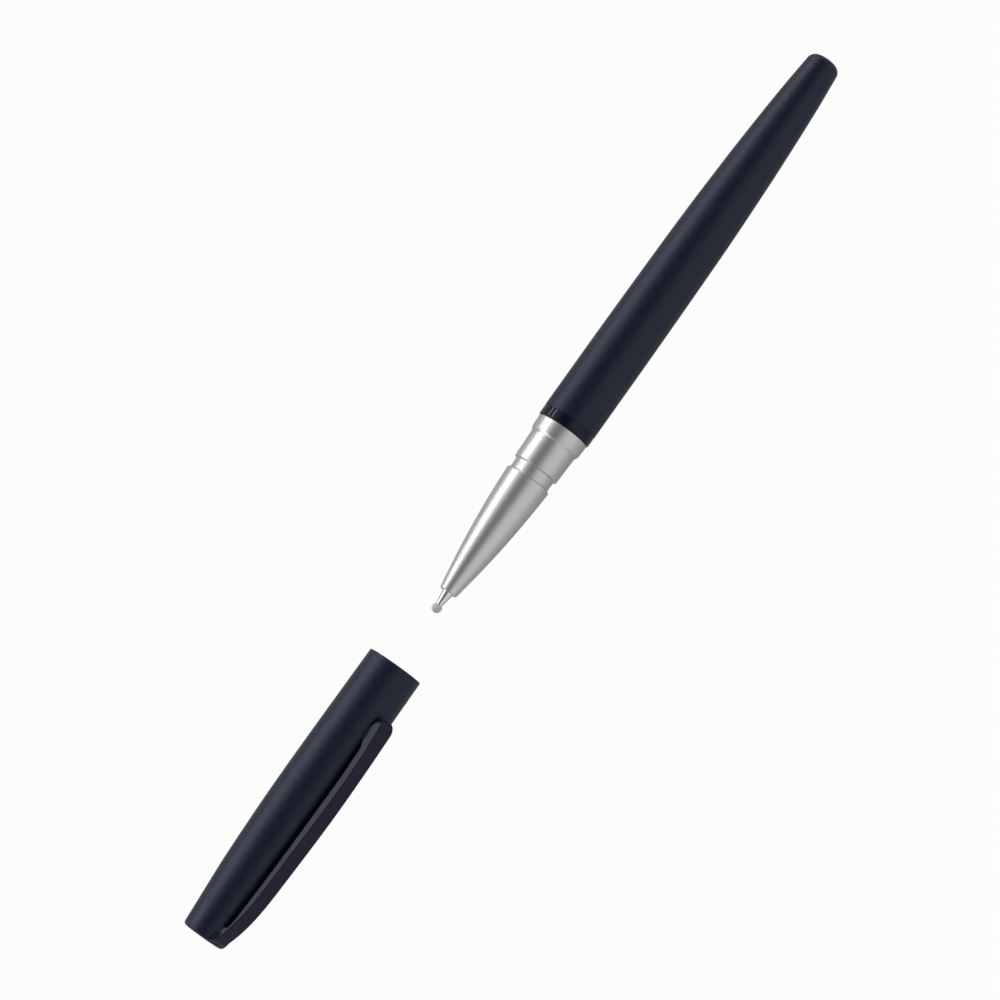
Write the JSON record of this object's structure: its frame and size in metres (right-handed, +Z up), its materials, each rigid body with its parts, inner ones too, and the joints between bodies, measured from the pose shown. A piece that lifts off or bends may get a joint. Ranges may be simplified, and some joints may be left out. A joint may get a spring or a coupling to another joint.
{
  "type": "capped rollerball pen",
  "caption": "Slim capped writing pen with a satin metal nose, a tapering matt barrel that unscrews for refills, and a pull-off cap with a sprung pocket clip.",
  "frame": {"origin": "on the pen's axis, at the front end of the barrel's straight navy stretch", "axes": "+X along the pen's axis towards the barrel's domed end, the writing point towards -X; +Z up with the pen lying down; the clip is on the -Y side, raised 41.5 degrees"},
  "size_m": [0.1936, 0.0126, 0.012],
  "materials": {
    "satin_silver": "satin, fine blasted grain",
    "matt_navy": "matt lacquer",
    "gloss_navy": "high gloss lacquer",
    "satin_navy_metal": "dark satin anodised",
    "polished_tip": "polished",
    "carbide_ball": "polished",
    "clear_seal": "translucent",
    "black_seal": "matt",
    "brass_bush": "machined",
    "spring_steel": "drawn wire",
    "pale_plastic": "moulded",
    "tube_plastic": "translucent extruded",
    "ink_fluid": "liquid",
    "follower_grease": "clear grease",
    "dark_plastic": "moulded"
  },
  "bodies": {
    "section": {"grip_section": "satin_silver", "nose_bush": "brass_bush", "thread_sleeve": "brass_bush"},
    "washer": {"neck_washer": "black_seal"},
    "barrel": {"trim_ring": "gloss_navy", "barrel_shell": "matt_navy", "barrel_thread_insert": "brass_bush", "spring_seat": "dark_plastic", "refill_spring": "spring_steel"},
    "refill": {"refill_tip": "polished_tip", "refill_tip_holder": "pale_plastic", "refill_tube": "tube_plastic", "ink": "ink_fluid", "ink_follower": "follower_grease", "refill_end_plug": "pale_plastic"},
    "ball": {"writing_ball": "carbide_ball"},
    "seal": {"tip_seal": "clear_seal"},
    "cap_snap": {"cap_grip_ring": "spring_steel"},
    "cap": {"cap_shell": "matt_navy", "cap_liner": "dark_plastic", "inner_cap": "dark_plastic", "clip_anchor": "dark_plastic"},
    "clip": {"clip": "satin_navy_metal"}
  },
  "joints": [
    {"name": "cap_slide", "type": "slide", "parent": "section", "child": "cap_snap", "axis": [1, 0, 0], "range_m": [0, 0.0488]},
    {"name": "cap_turn", "type": "hinge", "parent": "cap_snap", "child": "cap", "pos_m": [-0.0608, 0, 0], "axis": [1, 0, 0], "continuous": true},
    {"name": "clip_flex", "type": "hinge", "parent": "cap", "child": "clip", "pos_m": [-0.1111, -0.0012, 0.00106], "axis": [0, -0.6626, -0.749], "range_deg": [0, 3], "stiffness_Nm_per_rad": 2.1},
    {"name": "barrel_turn", "type": "hinge", "parent": "section", "child": "washer", "pos_m": [-0.0019, 0, 0], "axis": [1, 0, 0], "range_deg": [0, 2340]},
    {"name": "barrel_draw", "type": "slide", "parent": "washer", "child": "barrel", "axis": [1, 0, 0], "range_m": [0, 0.00651]},
    {"name": "refill_slide", "type": "slide", "parent": "section", "child": "refill", "axis": [1, 0, 0], "range_m": [0, 0.0008], "stiffness_N_per_m": 300, "springref_m": -0.002, "deforming": ["refill_spring"]},
    {"name": "ball_roll", "type": "hinge", "parent": "refill", "child": "ball", "pos_m": [-0.04115, 0, 0], "axis": [0, 1, 0], "continuous": true},
    {"name": "seal_pull", "type": "slide", "parent": "refill", "child": "seal", "axis": [-1, 0, 0], "range_m": [0, 0.0022]}
  ],
  "couplings": [
    {"joint": "barrel_draw", "follows": "barrel_turn", "m_per_rad": 0.00015915}
  ]
}
